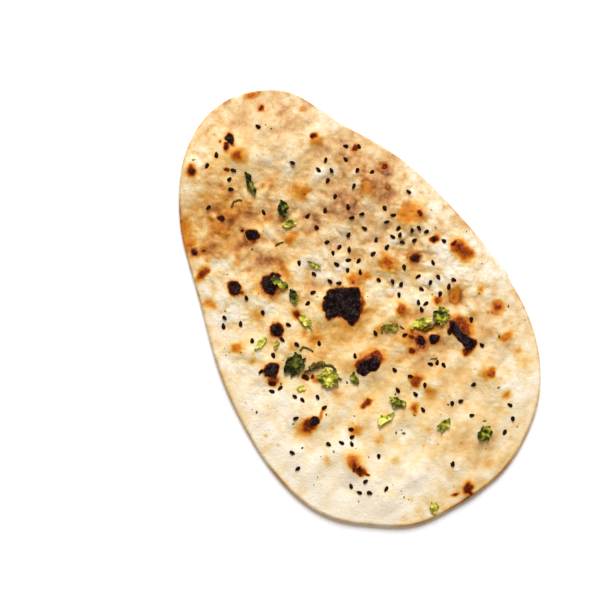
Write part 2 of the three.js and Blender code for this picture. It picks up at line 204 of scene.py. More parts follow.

# Tone of the crust, 0 pale dough to 1 deep brown, and the bumps that make it browner or paler; some
# of these bumps are painted shade and painted light on folds and ridges
TONE_LEVEL = 0.27
TONE_WARP = 3.5
TONE_WARP_WIDTH = 14
# Painted shade: the brown bands in the valleys at (-39, 53), (-23, 38) and (20, -109). Painted
# light: the paler bands on the lit slopes and ridges at (-50, 49), (2, 80), (24, -7) and (19,
# -113.4).
TONES_AND_PAINTED_SHADING = [
    (-16, 112, 22, 10, 0, 0.22), (-18, 101, 14, 7, 0, -0.12), (18, 110, 16, 9, 0, 0.1),
    (16, 95, 18, 11, 0, 0.22), (40, 80, 26, 8, -52, -0.2), (-38, 78, 18, 7, -20, 0.24),
    (-24, 80, 12, 7, 0, 0.3), (2, 80, 9, 6, 0, -0.22), (-28, 66, 20, 8, -24, 0.14),
    (-16, 61, 8, 7, 0, 0.28), (-53, 68, 6, 9, 20, -0.1), (-40, 61, 14, 6, -5, 0.32),
    (-20, 59, 8, 5, 0, 0.06), (-50, 49, 12, 5, -10, -0.3), (-39, 53, 14, 3.4, -31, 0.36),
    (-23, 38, 8, 4, -76, 0.36), (-29, 42, 7, 5, 0, 0.34), (-12, 48, 7, 8, 0, 0.2),
    (2, 43, 8, 12, 8, 0.26), (-4, 72, 9, 6, 0, 0.18), (-18, 60, 30, 22, 0, 0.06),
    (30, 46, 34, 26, 0, 0.25), (44, 64, 15, 9, -38, 0.28), (54, 50, 8, 6, 0, 0.18),
    (39, 50, 6, 5, 0, -0.14), (22, 30, 14, 7, 0, -0.12), (27, 42, 8, 6, 0, 0.16),
    (54, 21, 12, 9, 0, 0.12), (62, 30, 8, 16, 15, -0.16), (52, 10, 7, 5, 0, -0.08),
    (49, 42, 11, 10, 0, 0.34), (42, 3, 6, 6, 0, 0.12), (68, 2, 8, 14, 0, 0.12),
    (12, 4, 5, 9, -20, 0.18), (-12, 14, 7, 7, 0, 0.28), (30, 8, 8, 5, 0, 0.14),
    (-3, -11, 15, 8, -10, 0.08), (-32, -11, 9, 9, 0, 0.16), (17, -22, 12, 7, -10, 0.26),
    (41, -29, 7, 5, 0, 0.25), (-27, -21, 8, 5, 0, 0.16), (52, -31, 8, 6, 20, 0.36),
    (24, -41, 18, 9, -12, 0.36), (60, -42, 9, 8, 0, 0.18), (-20, -47, 8, 5, 0, 0.12),
    (6, -61, 12, 5, 0, -0.12), (30, -66, 20, 10, 0, 0.1), (12, -97, 10, 13, 0, 0.22),
    (34, -101, 10, 7, 0, 0.04), (60, -17, 12, 10, 0, -0.26), (73, -26, 6, 16, 0, -0.25),
    (34, -14, 9, 7, 0, -0.1), (-14, -22, 12, 5, 0, 0.12), (-39, 20, 8, 12, 0, -0.24),
    (0, 22, 9, 8, 0, -0.08), (-63, -28, 16, 34, 0, -0.26), (-66, -70, 16, 20, 20, -0.2),
    (-44, -92, 30, 18, -20, -0.3), (-44, -64, 14, 12, 0, -0.12), (-8, -100, 18, 10, 0, -0.16),
    (60, -86, 14, 12, 30, -0.34), (-58, 20, 13, 18, 0, -0.08), (24, -7, 24, 4.5, -33, -0.1),
    (20, -109, 12, 3, -44, 0.24), (19, -113.4, 7, 1.8, -36, -0.2),
]
# Mottling of the crust: width and depth of each layer
MOTTLES = [(9, 0.1), (4, 0.13), (2, 0.09)]
# Painted shade in the creases and painted light on the lumps: how much browner each millimetre down
# into a crease is painted, and the height that stays as it is
CREASE_PAINTED_SHADE = 0.28
CREASE_SHADE_LEVEL = -0.06
# How golden the crust is, 0 tan to 1 golden, and the bumps that make it more so or less
GOLD_LEVEL = 0.43
GOLD_UNEVEN = 0.3
UNEVEN_WIDTH = 7
GOLDS = [
    (-14, -8, 40, 28, 0, 0.4), (-34, 62, 26, 16, 0, 0.08), (-6, -64, 30, 14, 0, 0.4),
    (-32, 74, 22, 18, 0, 0.15), (26, 40, 26, 30, 0, -0.5), (8, 108, 30, 16, 0, -0.5),
    (40, 80, 32, 14, -52, -0.6), (62, 10, 14, 50, 5, -0.5), (72, -28, 9, 24, 0, -0.5),
    (24, -44, 16, 9, 0, -0.3), (52, -44, 8, 12, 0, -0.3), (2, 14, 15, 8, 0, -0.4),
    (70, 4, 10, 20, 0, -0.2), (-34, -84, 26, 16, 0, 0.3),
]

# Heat of the spots: 0.2 is golden, 0.4 orange, 0.6 red-brown, 0.8 dark brown and 1 black
# Charred patches: heat, width of the soft edge, width of the halo, and points round the patch
CHARS = [
    (1.16, 3.4, 3.6, [
        (-8.4, 7.6), (-4.4, 9.8), (0.6, 7.8), (5, 5.2), (8.6, 3), (7, -0.6),
        (5.4, -4), (2.8, -9.4), (0.4, -12.6), (-4, -13), (-5.4, -10), (-6, -6),
        (-9.4, -4.6), (-13, -4.4), (-13.8, -0.7), (-12.2, 3.2), (-10.4, 5.4),
    ]),
    (1.05, 2.6, 2.2, [(-25.8, 58), (-19.6, 54.6), (-20.6, 49.9), (-24.2, 50.2), (-28.4, 53.4)]),
    (0.66, 4, 2, [
        (-14.8, -31), (-10, -28.6), (-3, -28.6), (1.6, -30.2),
        (2.6, -34), (0.6, -37.4), (-6, -37.6), (-12, -36),
    ]),
    (1.15, 2, 1, [
        (-14.4, -34.2), (-11.2, -30.4), (-8, -30.8), (-3, -32.4), (-0.8, -35),
        (-2, -38), (-6, -39.2), (-10, -38.2), (-13.2, -36.8),
    ]),
    (0.62, 4, 2.6, [
        (40.6, -35), (45, -35.4), (48.4, -39.6), (48.6, -44), (45.6, -49), (42, -47),
    ]),
    (0.7, 2.6, 1.8, [(40, -49.5), (36.2, -54.4), (38.4, -56.4), (43.4, -55.6)]),
    (1.1, 1.9, 1.2, [
        (40, -37), (42.4, -37.8), (43.4, -43), (43.6, -48), (46.8, -53),
        (44.2, -54.8), (39.4, -54), (39.2, -48), (38, -43), (37.4, -39.8),
    ]),
]
# Round spots: bumps with their heat, and their softness as a share of the lesser reach
SPOTS = [
    (-3, -8, 10, 8, 20, 0.3, 0.9), (4.6, -6, 8, 2.1, 62, 0.54, 1.1),
    (-30, 26, 7.6, 6.6, -20, 0.42, 0.8), (-29.4, 27, 4.4, 4.9, 0, 1.0, 0.7),
    (-24.6, 29.8, 2.8, 1.4, -35, 0.92, 0.8), (-20, 27, 3, 4.2, 0, 0.34, 1.4),
    (-45.9, 35.2, 3.8, 4.4, 0, 0.82, 0.5), (-44.8, 36.6, 1.8, 1.8, 0, 0.96, 1),
    (-43.9, 31.4, 1.6, 2, 0, 0.5, 1), (-27.4, 58.4, 1.2, 1.2, 0, 0.86, 0.9),
    (-26, 50.4, 2.6, 1.4, -20, 0.52, 1), (-6, -32, 9, 4.6, -4, 0.4, 0.9),
    (-51.8, -11, 4.3, 3.6, 0, 1.0, 0.6), (-53, -15.4, 3.2, 2.4, -20, 0.48, 0.9),
    (-54.3, -17, 1.8, 1.5, 0, 0.74, 0.9), (-38.5, 4.6, 3.2, 3.9, -20, 0.92, 0.7),
    (-25.6, 6.4, 2, 2.6, 0, 0.74, 1.2), (-38.7, -23, 1.8, 1.5, -30, 0.8, 0.7),
    (-35.3, -24.4, 1.3, 1.1, 0, 0.7, 0.9), (-33.6, -27, 2.4, 2, 0, 0.36, 1.1),
    (21.6, -38.3, 2.8, 4, 0, 0.86, 1.1), (19, -33.2, 2.4, 1.6, -50, 0.7, 1),
    (20, -33, 5, 4.4, 0, 0.4, 1.2), (28.6, -40.6, 3, 2.5, -10, 1.02, 0.45),
    (15.1, -39.8, 2, 1.4, -40, 0.8, 0.9), (28, -34.2, 5, 1.8, -8, 0.5, 1.2),
    (44.6, -42.4, 2.2, 3.4, 10, 0.72, 1.4), (38, -41, 1.6, 2.8, 10, 0.72, 1),
    (-50, -45.4, 5.6, 4, 6, 0.56, 0.8), (-46, -44.6, 2.9, 2.4, 0, 0.98, 0.8),
    (-40.4, -43.6, 4.8, 1.3, 33, 0.36, 0.9), (-39.6, -73.2, 4, 5.2, 5, 0.48, 1.2),
    (-39.8, -74.6, 2, 3.4, 0, 0.66, 1.4), (-38.4, -79, 2.6, 3.4, 25, 0.62, 1),
    (-41.4, -76.3, 0.9, 1, 0, 0.74, 0.9), (-37.7, -77.4, 1, 0.9, 0, 0.72, 0.9),
    (-37.2, -81.6, 1.3, 0.9, 0, 0.74, 0.9), (-39.8, -80.4, 0.9, 0.8, 0, 0.78, 0.9),
    (64.4, -8.6, 7.2, 4.6, -74, 0.55, 0.9), (63.5, -6.8, 4.4, 2.8, -74, 0.66, 1.4),
    (62.7, -3.6, 1.5, 1.4, 0, 0.8, 1.2), (51, 21.2, 7.4, 5.8, 8, 0.33, 1.1),
    (53, 22.6, 3.4, 2.6, 0, 0.36, 1.2), (55.4, 19.2, 1.7, 1.7, 0, 0.66, 1.2),
    (39, 43.6, 3.4, 5, 0, 0.32, 1), (28, 5.4, 3.4, 5, 0, 0.47, 0.9),
    (27.4, 3.4, 1.8, 2.6, 0, 0.56, 1.4), (41.8, 0.6, 2.9, 2.6, 0, 0.84, 1),
    (55, 4, 2.3, 2.3, 0, 0.66, 0.9), (8.6, 60, 5.6, 4.6, -25, 0.3, 1),
    (11, 58.8, 2.8, 2.4, 0, 0.42, 1.2), (9.4, 57.8, 1.1, 1, 0, 0.66, 1),
    (-9.2, 92, 3.4, 3.1, 0, 0.56, 1.1), (-9, 90.4, 2.2, 1.4, 0, 0.66, 1.4),
    (-15.5, 93, 4.4, 3.6, 0, 0.24, 1.4), (-8.6, 101, 1.9, 3, -8, 0.98, 0.8),
    (-12.4, 98.6, 2, 2.2, 0, 0.78, 0.9), (-12.8, 102.6, 0.9, 0.9, 0, 0.8, 1),
    (-18, 89.4, 1.4, 1.4, 0, 0.76, 1), (-34, 98, 2.6, 2.8, 0, 0.72, 1.1),
    (-33.2, 68.6, 2, 3.1, 12, 0.82, 1.1), (-34.6, 66.4, 4.2, 4, 0, 0.42, 1.3),
    (29, 80.5, 1.8, 1.8, 0, 0.78, 1.1), (29, 78, 3.6, 2.6, 0, 0.3, 1.1),
    (44.5, 65, 1.8, 2, 0, 0.78, 1), (52, 49, 2.2, 1.8, 0, 0.72, 1),
    (14, 107, 2, 1.6, 0, 0.76, 1), (13, 116, 3.2, 2.4, -10, 0.46, 1.1),
    (-56, 50, 4.2, 2.4, 22, 0.64, 1.1), (-54.4, 61.2, 2.4, 2.2, 0, 0.82, 1),
    (-49.4, 60, 1.7, 1.5, 0, 0.8, 1), (-54.8, 66.4, 3.4, 3, 0, 0.5, 1.2),
    (-52, 74, 3, 6, -25, 0.42, 1.2), (-8, 42, 3, 2.8, 0, 0.42, 1.1),
    (22, -18, 3.4, 3.4, 0, 0.5, 1.1), (8, 8, 3.2, 2.8, 0, 0.44, 1.1),
    (7.4, 7.4, 1.4, 1.4, 0, 0.58, 1.4), (15, 6, 1.6, 1.5, 0, 0.6, 1),
    (6, -21.6, 2.6, 2, 0, 0.36, 1.2), (49, -27, 2.4, 3.2, -30, 0.52, 1.1),
    (40, -24.6, 2.2, 2, 0, 0.54, 1.1), (65, -43, 2.6, 2.6, 0, 0.66, 1.1),
    (63, -31, 2.6, 2.4, 0, 0.36, 1.2), (53, -40, 2, 1.6, 0, 0.34, 1.1),
    (61, -58, 4.6, 2, 10, 0.4, 1.2), (10, -54, 3.6, 2.8, -10, 0.54, 1.1),
    (13, -62, 2.8, 2.8, 0, 0.42, 1.1), (1, -66, 2, 2.4, 0, 0.6, 1.1),
    (44, -70.5, 3.4, 3.4, 0, 0.52, 1.1), (63, -74, 3, 3.6, 0, 0.3, 1.3),
    (46, -84, 2.6, 2, 20, 0.34, 1.3), (-19, -51, 3.8, 1.7, 5, 0.68, 1),
    (-17, -50, 1.6, 1.4, 0, 0.76, 1.2), (-30, -60, 2.6, 2.8, 0, 0.5, 1.1),
    (-23, -71, 2, 2, 0, 0.28, 1.3), (-50, -65, 2, 1.8, 0, 0.3, 1.3),
    (-61, 8, 3.2, 2.7, 0, 0.38, 1.1), (-43, 17, 3.2, 3, 0, 0.34, 1.2),
    (-60, 34, 2.6, 2.6, 0, 0.36, 1.2), (-24, -9, 3, 3, 0, 0.34, 1.1),
    (4, -115, 3.6, 2.4, 40, 0.66, 1.1), (3.4, -118, 1.4, 2.4, 0, 0.64, 1.1),
    (-3.4, -114.6, 2.2, 0.9, -25, 0.62, 1),
]
# Golden halo of a spot: its heat, and its least width and what it adds of the spot's reach
HALO_HEAT = 0.2
HALO_LEAST = 1.2
HALO_SHARE = 0.5
# Ragged outlines: how far coarse wobbles push them, and the share of that in the fine wobbles
SPOT_WARP = 0.72
SPOT_RIPPLE = 0.7
HEAT_UNEVEN = 0.14
EDGE_UNEVEN = 0.7
# Spots cooler than this fade out from their middle; hotter ones have a narrower soft edge
COOL_PEAK = 0.68
COOL_SOFTNESS = 1.65
COOL_GAIN = 1.12
HOT_SOFTNESS = 1.3
HOT_GAIN = 1.05
# Spots hotter than this are scorched brown, and the crust round them this far out
SCORCH_PEAK = 0.86
SCORCH_REACH = 2.4
# How far a spot puffs up
SPOT_RISE = 0.12
# Strewn things stay within this share of the way to the rim
STREWN_SHARE = 0.97
# Small toasted dots: their least reach and heat, and what the largest and hottest add
FRECKLES = 150
FRECKLE_SEED = 11
FRECKLE_REACH = (0.7, 1.5)
FRECKLE_HEAT = (0.1, 0.28)
UNDERSIDE_SPOTS = 70
UNDERSIDE_SEED = 5
UNDERSIDE_REACH = (2, 4.5)
UNDERSIDE_HEAT = (0.3, 0.45)
# Tone of the rim, from this share of the way out, and the stretches that are browner, partly
# toasting and partly painted shade along the edge; the stretch at the lower left is a painted
# shadow line
RIM_TONE = 0.16
RIM_UNEVEN = 0.3
RIM_TONE_FROM = 0.98
RIM_TONES_AND_PAINTED_SHADE = [
    (-52, 76, 18, 10, 60, 0.2), (40, 90, 24, 8, -50, 0.2), (0, -118, 60, 6, 0, 0.35),
    (-66, -70, 12, 30, 30, 0.25),
]

# Colours as they show in daylight, red, green and blue out of 255
TAN_COLOURS = [
    (0.0, (255, 247, 228)),
    (0.2, (249, 228, 190)),
    (0.4, (237, 203, 149)),
    (0.6, (217, 172, 111)),
    (0.8, (191, 133, 80)),
    (1.0, (130, 82, 46)),
]
GOLD_COLOURS = [
    (0.0, (255, 243, 214)),
    (0.2, (250, 226, 172)),
    (0.4, (243, 202, 124)),
    (0.6, (230, 166, 72)),
    (0.8, (202, 122, 30)),
    (1.0, (138, 76, 18)),
]
CHAR_COLOURS = [
    (0.3, (232, 152, 34)),
    (0.42, (210, 120, 18)),
    (0.54, (168, 76, 12)),
    (0.66, (122, 44, 10)),
    (0.78, (78, 26, 9)),
    (0.9, (40, 13, 6)),
    (1.0, (18, 6, 4)),
]
SCORCH_COLOURS = [
    (0.26, (228, 176, 110)),
    (0.42, (190, 116, 52)),
    (0.56, (136, 62, 20)),
    (0.7, (86, 30, 10)),
    (0.85, (44, 14, 7)),
    (1.0, (18, 6, 4)),
]
# How much browner a spot's heat makes the crust round it, and how much more golden
HEAT_BROWNS = 1.1
HEAT_GILDS = 3
# Brightness of the darkest grains of the crust
SPECKLE_DARKEST = 0.76
LEAF_COLOURS = [
    (0.0, (26, 28, 6)),
    (0.25, (72, 76, 14)),
    (0.5, (132, 132, 32)),
    (0.75, (188, 182, 52)),
    (1.0, (242, 236, 122)),
]
WILT_COLOUR = (104, 70, 24)
# Painted highlight: colour of the pale glints on the flakes of the blackest char
CHAR_GLINT = (118, 98, 102)
SEED_COLOUR = (36, 12, 4)
SEED_DUST = (66, 38, 24)
FLOOR_COLOUR = (246, 248, 252)
FLOOR_HALF_SIDE = 4
# Flat crust in the window's light shows this many times as bright as its own colour
DAYLIGHT = 1.13
# Window light: heading from +X and elevation in degrees, and distance in metres
WINDOW_HEADING = 59
WINDOW_ELEVATION = 42
WINDOW_DISTANCE = 2.4

# Camera straight above, turned so that the narrow tip points up and left
PHOTO_PIXELS = 600
BREAD_PIXELS = 464.9
MM_PER_PIXEL = LENGTH / BREAD_PIXELS
ORIGIN_PIXEL = (346.0, 300.4)
CAMERA_TURN = -31
CAMERA_HEIGHT = 0.95
SENSOR = 36


def bell(u):
    return np.exp(-u * u)


def smooth_step(u, low=0.0, high=1.0):
    t = np.clip((u - low) / (high - low), 0, 1)
    return t * t * (3 - 2 * t)


def along_across(x, y, heading):
    """How far a place is along a heading and to its left."""
    c, s = cos(heading), sin(heading)
    return x * c + y * s, y * c - x * s


def reaches_away(bump, x, y):
    """How far a point is from the middle of a bump, in reaches along and across it."""
    along, across = along_across(x - bump[0], y - bump[1], radians(bump[4]))
    return np.hypot(along / bump[2], across / bump[3])


def sum_of_bumps(bumps, x, y):
    return sum(bump[5] * bell(reaches_away(bump, x, y)) for bump in bumps)


def rim_curve():
    """The bread's edge, counter-clockwise from the tip, stretched to LENGTH by WIDTH."""
    angle = 2 * np.pi * np.arange(OUTLINE_SAMPLES) / OUTLINE_SAMPLES
    reach = np.where(np.cos(angle) > 0, LENGTH / 2 - WIDEST_Y, LENGTH / 2 + WIDEST_Y)
    y = WIDEST_Y + reach * np.cos(angle)
    waist = 1 - WAIST["share"] * bell((y - WAIST["y"]) / WAIST["span"])
    corners = 1 + HEEL_CORNERS["share"] * bell((y - HEEL_CORNERS["y"]) / HEEL_CORNERS["span"])
    lean = TIP_LEAN["by"] * bell((y - TIP_LEAN["y"]) / TIP_LEAN["span"])
    points = np.stack([-(WIDTH / 2) * np.sin(angle) * waist * corners - lean, y], axis=1)
    for at, span, by in RIM_PULLS:
        pull = by * bell(np.hypot(*(points - at).T) / span)
        outwards = points - CORE
        points = points + outwards * (pull / np.hypot(*outwards.T))[:, None]
    low, high = points.min(axis=0), points.max(axis=0)
    return (points - (low + high) / 2) * np.array([WIDTH, LENGTH]) / (high - low)


RIM = rim_curve()


def spaced_rim(count):
    """As many rim points as asked for, evenly spaced, the first one after the tip."""
    closed = np.vstack([RIM, RIM[:1]])
    run = np.concatenate([[0], np.cumsum(np.hypot(*np.diff(closed, axis=0).T))])
    at = run[-1] * np.arange(1, count + 1) / count
    return np.stack([np.interp(at, run, closed[:, axis]) for axis in (0, 1)], axis=1)


def rim_share(x, y):
    """0 at the core and 1 at the rim."""
    spokes = RIM - CORE
    angle = np.arctan2(spokes[:, 1], spokes[:, 0])
    here = np.arctan2(y - CORE[1], x - CORE[0])
    reach = np.interp(here, angle, np.hypot(*spokes.T), period=2 * np.pi)
    return np.hypot(x - CORE[0], y - CORE[1]) / reach


@lru_cache(maxsize=None)
def noise_grid(seed):
    return np.random.default_rng(seed).uniform(-1, 1, (NOISE_SIDE, NOISE_SIDE))


def value_noise(x, y, cell, seed):
    """Smooth random bumps between -1 and 1, about one cell wide, in each seed's own pattern."""
    grid = noise_grid(seed)
    u, v = x / cell + NOISE_SIDE / 2, y / cell + NOISE_SIDE / 2
    i, j = np.floor(u).astype(int) % NOISE_SIDE, np.floor(v).astype(int) % NOISE_SIDE
    next_i, next_j = (i + 1) % NOISE_SIDE, (j + 1) % NOISE_SIDE
    s, t = smooth_step(u - np.floor(u)), smooth_step(v - np.floor(v))
    near = grid[i, j] * (1 - s) + grid[next_i, j] * s
    far = grid[i, next_j] * (1 - s) + grid[next_i, next_j] * s
    return near * (1 - t) + far * t


def drift(x, y, cell, seeds):
    """Two noises, one for each direction, that push places about."""
    return np.array([value_noise(x, y, cell, seed) for seed in seeds])


def lumpiness(x, y):
    """How strong the lumps and the mottling are, from 0 to 1 and more."""
    along, _ = along_across(x, y, radians(LUMPY_HEADING))
    general = LUMPY_LEAST + (1 - LUMPY_LEAST) * smooth_step(along, LUMPY_FROM, LUMPY_TO)
    return general + sum_of_bumps(LUMPY_PLACES, x, y)


def lumps(x, y):
    """Puffed lumps with creases between them, in millimetres of rise."""
    total = np.zeros_like(x)
    for k, (width, rise) in enumerate(FINE_RELIEF):
        u, v = along_across(x, y, (k + 1) * GOLDEN_ANGLE)
        lump = np.hypot(value_noise(u, v, width, 40 + k), CREASE_SOFTNESS)
        total += rise * (LUMP_STEEPNESS * lump - LUMP_MEAN)
    return total


def pillows(x, y):
    """Rise of the ripples that cross all over the crust."""
    total = 0
    for i in range(RIPPLES):
        along, _ = along_across(x, y, i * GOLDEN_ANGLE)
        total = total + np.sin(2 * np.pi * along / (RIPPLE_LENGTH * RIPPLE_SHRINK**i) + i)
    return RIPPLE_RISE * total / RIPPLES


def base_height(x, y):
    """The underside, lifted off the table under the folds."""
    return np.maximum(0, sum_of_bumps(FOLDS, x, y) - SETTLE)


def crust_height(x, y):
    """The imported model's crust, with the fine relief added."""
    inside = smooth_step(1 - rim_share(x, y), 0, RIM_TAPER)
    thickness = RIM_THICKNESS + (THICKNESS - RIM_THICKNESS) * inside
    relief = pillows(x, y) * inside + sum_of_bumps(BLISTERS, x, y)
    hot = heat(x, y)
    flakes = value_noise(x, y, CRACKLE_WIDTH, 60)
    crackle = CHAR_CRACKLE * smooth_step(hot, CRACKLE_FROM, 1) * flakes
    fine = lumps(x, y) * lumpiness(x, y) + SPOT_RISE * np.minimum(hot, 1) + crackle
    fine_share = RIM_RELIEF + (1 - RIM_RELIEF) * inside
    return base_height(x, y) + thickness + relief + fine * fine_share


def rounded(outline):
    """An outline with its corners cut twice."""
    points = np.array(outline, dtype=float)
    for _ in range(2):
        following = np.roll(points, -1, axis=0)
        early, late = 0.75 * points + 0.25 * following, 0.25 * points + 0.75 * following
        points = np.stack([early, late], axis=1).reshape(-1, 2)
    return points


def depth_inside(outline, x, y):
    """How many millimetres inside a closed outline each point is, and less than 0 outside it."""
    nearest = np.full_like(x, np.inf)
    crossings = np.zeros(x.shape, dtype=int)
    for (ax, ay), (bx, by) in zip(outline, np.roll(outline, -1, axis=0)):
        along = ((x - ax) * (bx - ax) + (y - ay) * (by - ay)) / ((bx - ax) ** 2 + (by - ay) ** 2)
        along = np.clip(along, 0, 1)
        away = np.hypot(x - ax - along * (bx - ax), y - ay - along * (by - ay))
        nearest = np.minimum(nearest, away)
        if ay != by:
            straddles = (ay > y) != (by > y)
            crossings += straddles & (x < ax + (bx - ax) * (y - ay) / (by - ay))
    return np.where(crossings % 2 == 1, nearest, -nearest)


def toasted(depth, peak, softness, halo_width):
    """Heat by depth inside a spot: a core with a soft edge, in a wider golden halo."""
    core = peak * smooth_step(depth, -0.5 * softness, 0.5 * softness)
    halo = HALO_HEAT * min(1, peak / 0.5) * smooth_step(depth, -halo_width, 0.3 * halo_width)
    return np.maximum(core, halo)


def spots_here(x, y):
    """For each spot: its heat, the widths of its edge and halo, and the points' depth inside."""
    coarse = drift(x, y, 4, (71, 73))
    fine = drift(x, y, 1.9, (72, 74))
    wx, wy = np.array([x, y]) + SPOT_WARP * (coarse + SPOT_RIPPLE * fine)
    uneven = 1 + EDGE_UNEVEN * value_noise(x, y, 6, 76)
    for peak, softness, halo_width, outline in CHARS:
        depth = depth_inside(rounded(outline), wx, wy)
        yield peak, softness * uneven, halo_width * uneven, depth
    for *place, peak, softness in SPOTS:
        reach = min(place[2], place[3])
        depth = (1 - reaches_away(place, wx, wy)) * reach
        cool = peak < COOL_PEAK
        gain, softening = (COOL_GAIN, COOL_SOFTNESS) if cool else (HOT_GAIN, HOT_SOFTNESS)
        halo_width = HALO_LEAST + HALO_SHARE * reach
        yield peak * gain, softness * softening * reach * uneven, halo_width * uneven, depth


def heat(x, y):
    """How toasted each point is by its spots: 0 bare, 1 black."""
    hottest = freckles(x, y)
    for peak, softness, halo_width, depth in spots_here(x, y):
        hottest = np.maximum(hottest, toasted(depth, peak, softness, halo_width))
    return hottest * (1 + HEAT_UNEVEN * value_noise(x, y, 2.6, 75))


def scorching(x, y):
    """1 in the spots that burnt black and close round them, where the crust went brown."""
    near = np.zeros_like(x)
    for peak, _, _, depth in spots_here(x, y):
        if peak > SCORCH_PEAK:
            near = np.maximum(near, smooth_step(depth, -SCORCH_REACH, 0))
    return near


def strewn(count, seed):
    """Places all over the bread, with two more draws between 0 and 1 for each."""
    rng = np.random.default_rng(seed)
    places = []
    for _ in range(count):
        rim = RIM[rng.integers(OUTLINE_SAMPLES)]
        x, y = CORE + (rim - CORE) * sqrt(rng.uniform()) * STREWN_SHARE
        places.append((x, y, rng.uniform(), rng.uniform()))
    return places


def freckles(x, y):
    """Small toasted dots strewn over the crust."""
    dots = np.zeros_like(x)
    for fx, fy, size, hot in strewn(FRECKLES, FRECKLE_SEED):
        reach = FRECKLE_REACH[0] + FRECKLE_REACH[1] * size**2
        peak = FRECKLE_HEAT[0] + FRECKLE_HEAT[1] * hot**2
        dots = np.maximum(dots, peak * bell(np.hypot(x - fx, y - fy) / reach))
    return dots


def tone(x, y):
    """How brown the crust is between its spots, 0 pale dough and 1 deep brown, with painted shade
    in its creases and valleys and painted light on some lumps and ridges.
    """
    warped = np.array([x, y]) + TONE_WARP * drift(x, y, TONE_WARP_WIDTH, (81, 82))
    broad = TONE_LEVEL + sum_of_bumps(TONES_AND_PAINTED_SHADING, *warped)
    mottle = sum(depth * value_noise(x, y, width, 83 + width) for width, depth in MOTTLES)
    # Painted shade and light: browner down in the creases and paler on the lumps' tops
    creases = -CREASE_PAINTED_SHADE * (lumps(x, y) + CREASE_SHADE_LEVEL)
    rim_uneven = RIM_UNEVEN * value_noise(x, y, UNEVEN_WIDTH, 86)
    # Browner rim: partly toasting, partly painted shade along the edge
    rim_tone = RIM_TONE + rim_uneven + sum_of_bumps(RIM_TONES_AND_PAINTED_SHADE, x, y)
    edge = smooth_step(rim_share(x, y), RIM_TONE_FROM, 1.0) * rim_tone
    return np.clip(broad + mottle + creases * lumpiness(x, y) + edge, 0, 1)


def gold(x, y):
    """0 where the crust is tan and 1 where it is golden."""
    uneven = GOLD_UNEVEN * value_noise(x, y, UNEVEN_WIDTH, 87)
    return np.clip(GOLD_LEVEL + sum_of_bumps(GOLDS, x, y) + uneven, 0, 1)


def linear(colour):
    """Scene-linear red, green, blue and alpha from display values out of 255."""
    shares = [c / 255 for c in colour]
    return [s / 12.92 if s < 0.04045 else ((s + 0.055) / 1.055) ** 2.4 for s in shares] + [1.0]


def in_daylight(colour):
    """The surface's own colour that shows as the one given."""
    return [share / DAYLIGHT for share in linear(colour)[:3]] + [1.0]


def build_mesh(name, points, faces, material, attributes):
    """A smooth-shaded mesh object from points in millimetres, with named point attributes."""
    mesh = bpy.data.meshes.new(name)
    mesh.from_pydata((np.asarray(points) * MM).tolist(), [], faces)
    mesh.shade_smooth()
    mesh.materials.append(material)
    for key, values in attributes.items():
        attribute = mesh.attributes.new(key, "FLOAT", "POINT")
        attribute.data.foreach_set("value", np.asarray(values, dtype=np.float32))
    mesh.validate()
    made = bpy.data.objects.new(name, mesh)
    bpy.context.scene.collection.objects.link(made)
    return made


def stitch(inner, outer, faces):
    """Triangles between two rings that may differ in their number of points."""
    i = j = 0
    while i < len(inner) or j < len(outer):
        a, b = inner[i % len(inner)], outer[j % len(outer)]
        if i / len(inner) < j / len(outer):
            i += 1
            faces.append((a, b, inner[i % len(inner)]))
        else:
            j += 1
            faces.append((a, b, outer[j % len(outer)]))


def closed_surface(rings):
    """Points and triangles of a closed surface from rings; the first and last are one point."""
    points = np.vstack(rings)
    starts = np.cumsum([0] + [len(r) for r in rings])
    indexed = [list(range(starts[k], starts[k + 1])) for k in range(len(rings))]
    faces = []
    for inner, outer in zip(indexed, indexed[1:]):
        if len(outer) == 1:
            faces += [(outer[0], b, a) for a, b in zip(inner, inner[1:] + inner[:1])]
        elif len(inner) == 1:
            faces += [(inner[0], a, b) for a, b in zip(outer, outer[1:] + outer[:1])]
        else:
            stitch(inner, outer, faces)
    return points, faces


def along_spokes(rim, share, short):
    """Rim points drawn back by a distance and then to a share of the way from the core."""
    spokes = rim - CORE
    reach = np.hypot(*spokes.T)
    return CORE + spokes * ((reach - short) * share / reach)[:, None]


def raised(rings, height):
    """Rings of places lifted to a height that is worked out for all of them at once."""
    places = np.vstack(rings)
    points = np.column_stack([places, height(*places.T)])
    return np.split(points, np.cumsum([len(r) for r in rings])[:-1])


def rounded_rim(count):
    """The rim's rings by their lean in degrees: 90 faces up, 0 outwards and -90 down."""
    rim = spaced_rim(count)
    inner = along_spokes(rim, 1, RIM_ROUND)
    top, base = crust_height(*inner.T), base_height(*inner.T)
    rings = []
    for lean in np.radians(RIM_LEANS):
        places = along_spokes(rim, 1, RIM_ROUND * (1 - cos(lean)))
        height = (top + base) / 2 + (top - base) / 2 * sin(lean)
        rings.append(np.column_stack([places, height]))
    return rings


def face_rings(count):
    """Rings from the core to where the rim starts to round off, six points more in each."""
    return [along_spokes(spaced_rim(6 * k), k / count, RIM_ROUND) for k in range(1, count + 1)]


def bread_surface():
    """Points and triangles of the bread, and which of the points are on its underside."""
    middle = CORE[None, :]
    crust = raised([middle, *face_rings(CRUST_RINGS)], crust_height)
    base = raised([*face_rings(BASE_RINGS)[::-1], middle], base_height)
    upper = [*crust, *rounded_rim(6 * CRUST_RINGS)]
    points, faces = closed_surface([*upper, *base])
    return points, faces, np.arange(len(points)) >= sum(len(r) for r in upper)


